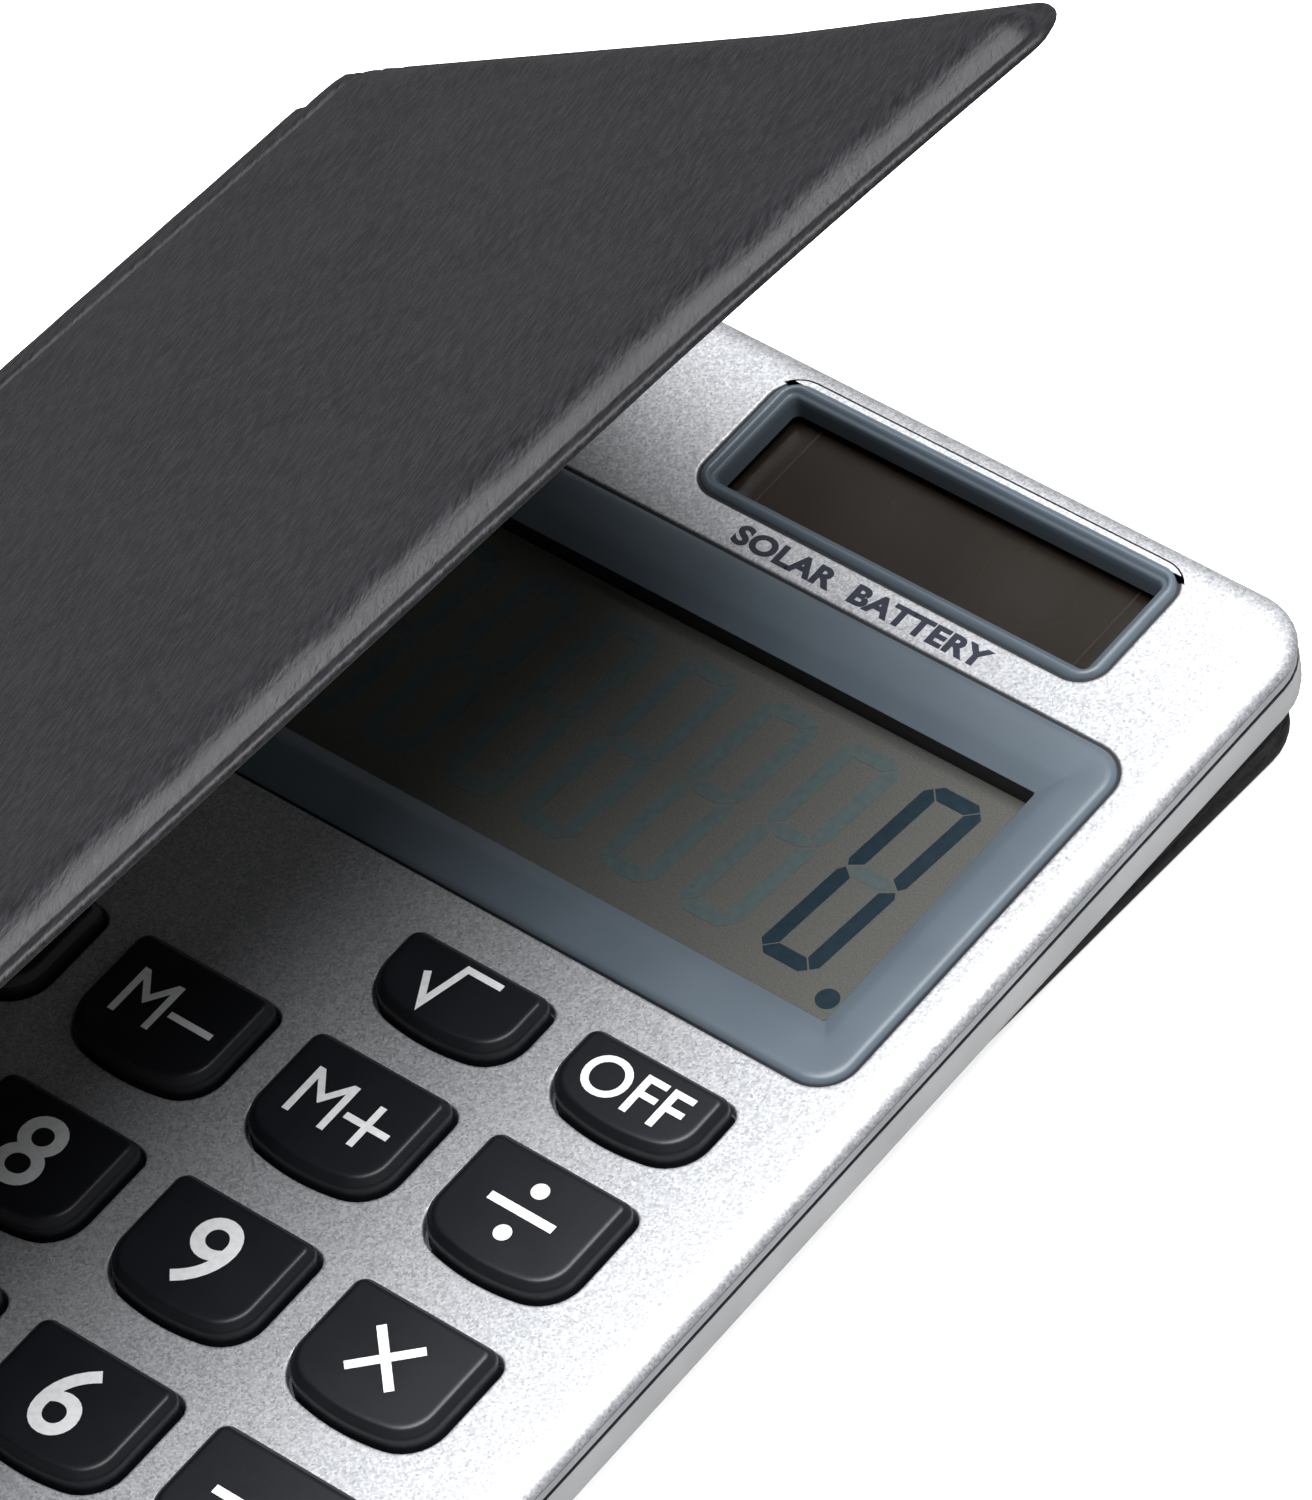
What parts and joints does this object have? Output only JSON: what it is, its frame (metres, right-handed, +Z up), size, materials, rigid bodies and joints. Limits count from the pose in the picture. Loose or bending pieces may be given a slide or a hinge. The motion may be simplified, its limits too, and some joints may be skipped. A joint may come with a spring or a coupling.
{
  "type": "pocket calculator in folding wallet",
  "caption": "Slim solar pocket calculator with a silver face, recessed display and raised black keys, held in a leatherette wallet whose stiffened flap folds over it.",
  "frame": {"origin": "on the wallet's underside, below the middle of the calculator body", "axes": "+X across the key columns to the free side of the wallet, +Y towards the display and solar panel, +Z up out of the face"},
  "size_m": [0.0774, 0.1214, 0.05],
  "materials": {
    "silver_paint": "fine sparkle silver, satin",
    "grey_plastic": "satin",
    "light_grey_plastic": "satin",
    "blue_grey_plastic": "satin",
    "clear_plastic": "clear gloss",
    "polarizer": "smooth",
    "lcd_glass": "clear",
    "reflector": "fine matte",
    "connector_rubber": "matte",
    "solar_dark": "deep gloss",
    "contact_brass": "bright",
    "board_green": "lacquered",
    "epoxy_black": "smooth",
    "component_ceramic": "matte",
    "mat_rubber": "matte",
    "cell_steel": "brushed",
    "screw_steel": "bright",
    "key_black": "satin",
    "leatherette": "fine creased grain, satin",
    "board": "greyboard",
    "lining": "matte",
    "adhesive": "matte foam"
  },
  "bodies": {
    "calculator": {"wallet_back_cover": "leatherette", "back_board": "board", "wallet_back_lining": "lining", "adhesive_pad": "adhesive", "rear_casing": "light_grey_plastic", "front_casing": "grey_plastic", "face_plate": "silver_paint", "casing_screws": "screw_steel", "display_bezel": "blue_grey_plastic", "display_window": "clear_plastic", "lcd_front_polarizer": "polarizer", "lcd_front_glass": "lcd_glass", "lcd_rear_glass": "lcd_glass", "lcd_reflector": "reflector", "lcd_connector": "connector_rubber", "solar_bezel": "blue_grey_plastic", "solar_window": "clear_plastic", "solar_cell": "solar_dark", "solar_leads": "contact_brass", "circuit_board": "board_green", "calculator_chip": "epoxy_black", "board_components": "component_ceramic", "key_mat": "mat_rubber", "battery": "cell_steel", "battery_contact_positive": "contact_brass", "battery_contact_negative": "contact_brass"},
    "spine": {"wallet_spine": "leatherette"},
    "flap": {"wallet_flap_cover": "leatherette", "flap_board": "board", "flap_lining": "lining"},
    "key_sqrt": {"key_sqrt": "key_black"},
    "key_off": {"key_off": "key_black"},
    "key_mc": {"key_mc": "key_black"},
    "key_mr": {"key_mr": "key_black"},
    "key_m_minus": {"key_m_minus": "key_black"},
    "key_m_plus": {"key_m_plus": "key_black"},
    "key_divide": {"key_divide": "key_black"},
    "key_percent": {"key_percent": "key_black"},
    "key_7": {"key_7": "key_black"},
    "key_8": {"key_8": "key_black"},
    "key_9": {"key_9": "key_black"},
    "key_multiply": {"key_multiply": "key_black"},
    "key_sign": {"key_sign": "key_black"},
    "key_4": {"key_4": "key_black"},
    "key_5": {"key_5": "key_black"},
    "key_6": {"key_6": "key_black"},
    "key_minus": {"key_minus": "key_black"},
    "key_clear": {"key_clear": "key_black"},
    "key_1": {"key_1": "key_black"},
    "key_2": {"key_2": "key_black"},
    "key_3": {"key_3": "key_black"},
    "key_plus": {"key_plus": "key_black"},
    "key_all_clear": {"key_all_clear": "key_black"},
    "key_0": {"key_0": "key_black"},
    "key_point": {"key_point": "key_black"},
    "key_equals": {"key_equals": "key_black"}
  },
  "joints": [
    {"name": "spine_fold", "type": "hinge", "parent": "calculator", "child": "spine", "pos_m": [-0.03915, -0.0013, 0.00075], "axis": [-0.0541, -0.9985, 0], "range_deg": [0, 90]},
    {"name": "flap_fold", "type": "hinge", "parent": "spine", "child": "flap", "pos_m": [-0.03915, -0.0013, 0.00865], "axis": [-0.0541, -0.9985, 0], "range_deg": [-34, 56]},
    {"name": "press_sqrt", "type": "slide", "parent": "calculator", "child": "key_sqrt", "axis": [0, 0, -1], "range_m": [0, 0.0008], "stiffness_N_per_m": 600},
    {"name": "press_off", "type": "slide", "parent": "calculator", "child": "key_off", "axis": [0, 0, -1], "range_m": [0, 0.0008], "stiffness_N_per_m": 600},
    {"name": "press_mc", "type": "slide", "parent": "calculator", "child": "key_mc", "axis": [0, 0, -1], "range_m": [0, 0.0008], "stiffness_N_per_m": 600},
    {"name": "press_mr", "type": "slide", "parent": "calculator", "child": "key_mr", "axis": [0, 0, -1], "range_m": [0, 0.0008], "stiffness_N_per_m": 600},
    {"name": "press_m_minus", "type": "slide", "parent": "calculator", "child": "key_m_minus", "axis": [0, 0, -1], "range_m": [0, 0.0008], "stiffness_N_per_m": 600},
    {"name": "press_m_plus", "type": "slide", "parent": "calculator", "child": "key_m_plus", "axis": [0, 0, -1], "range_m": [0, 0.0008], "stiffness_N_per_m": 600},
    {"name": "press_divide", "type": "slide", "parent": "calculator", "child": "key_divide", "axis": [0, 0, -1], "range_m": [0, 0.0008], "stiffness_N_per_m": 600},
    {"name": "press_percent", "type": "slide", "parent": "calculator", "child": "key_percent", "axis": [0, 0, -1], "range_m": [0, 0.0008], "stiffness_N_per_m": 600},
    {"name": "press_7", "type": "slide", "parent": "calculator", "child": "key_7", "axis": [0, 0, -1], "range_m": [0, 0.0008], "stiffness_N_per_m": 600},
    {"name": "press_8", "type": "slide", "parent": "calculator", "child": "key_8", "axis": [0, 0, -1], "range_m": [0, 0.0008], "stiffness_N_per_m": 600},
    {"name": "press_9", "type": "slide", "parent": "calculator", "child": "key_9", "axis": [0, 0, -1], "range_m": [0, 0.0008], "stiffness_N_per_m": 600},
    {"name": "press_multiply", "type": "slide", "parent": "calculator", "child": "key_multiply", "axis": [0, 0, -1], "range_m": [0, 0.0008], "stiffness_N_per_m": 600},
    {"name": "press_sign", "type": "slide", "parent": "calculator", "child": "key_sign", "axis": [0, 0, -1], "range_m": [0, 0.0008], "stiffness_N_per_m": 600},
    {"name": "press_4", "type": "slide", "parent": "calculator", "child": "key_4", "axis": [0, 0, -1], "range_m": [0, 0.0008], "stiffness_N_per_m": 600},
    {"name": "press_5", "type": "slide", "parent": "calculator", "child": "key_5", "axis": [0, 0, -1], "range_m": [0, 0.0008], "stiffness_N_per_m": 600},
    {"name": "press_6", "type": "slide", "parent": "calculator", "child": "key_6", "axis": [0, 0, -1], "range_m": [0, 0.0008], "stiffness_N_per_m": 600},
    {"name": "press_minus", "type": "slide", "parent": "calculator", "child": "key_minus", "axis": [0, 0, -1], "range_m": [0, 0.0008], "stiffness_N_per_m": 600},
    {"name": "press_clear", "type": "slide", "parent": "calculator", "child": "key_clear", "axis": [0, 0, -1], "range_m": [0, 0.0008], "stiffness_N_per_m": 600},
    {"name": "press_1", "type": "slide", "parent": "calculator", "child": "key_1", "axis": [0, 0, -1], "range_m": [0, 0.0008], "stiffness_N_per_m": 600},
    {"name": "press_2", "type": "slide", "parent": "calculator", "child": "key_2", "axis": [0, 0, -1], "range_m": [0, 0.0008], "stiffness_N_per_m": 600},
    {"name": "press_3", "type": "slide", "parent": "calculator", "child": "key_3", "axis": [0, 0, -1], "range_m": [0, 0.0008], "stiffness_N_per_m": 600},
    {"name": "press_plus", "type": "slide", "parent": "calculator", "child": "key_plus", "axis": [0, 0, -1], "range_m": [0, 0.0008], "stiffness_N_per_m": 600},
    {"name": "press_all_clear", "type": "slide", "parent": "calculator", "child": "key_all_clear", "axis": [0, 0, -1], "range_m": [0, 0.0008], "stiffness_N_per_m": 600},
    {"name": "press_0", "type": "slide", "parent": "calculator", "child": "key_0", "axis": [0, 0, -1], "range_m": [0, 0.0008], "stiffness_N_per_m": 600},
    {"name": "press_point", "type": "slide", "parent": "calculator", "child": "key_point", "axis": [0, 0, -1], "range_m": [0, 0.0008], "stiffness_N_per_m": 600},
    {"name": "press_equals", "type": "slide", "parent": "calculator", "child": "key_equals", "axis": [0, 0, -1], "range_m": [0, 0.0008], "stiffness_N_per_m": 600}
  ]
}
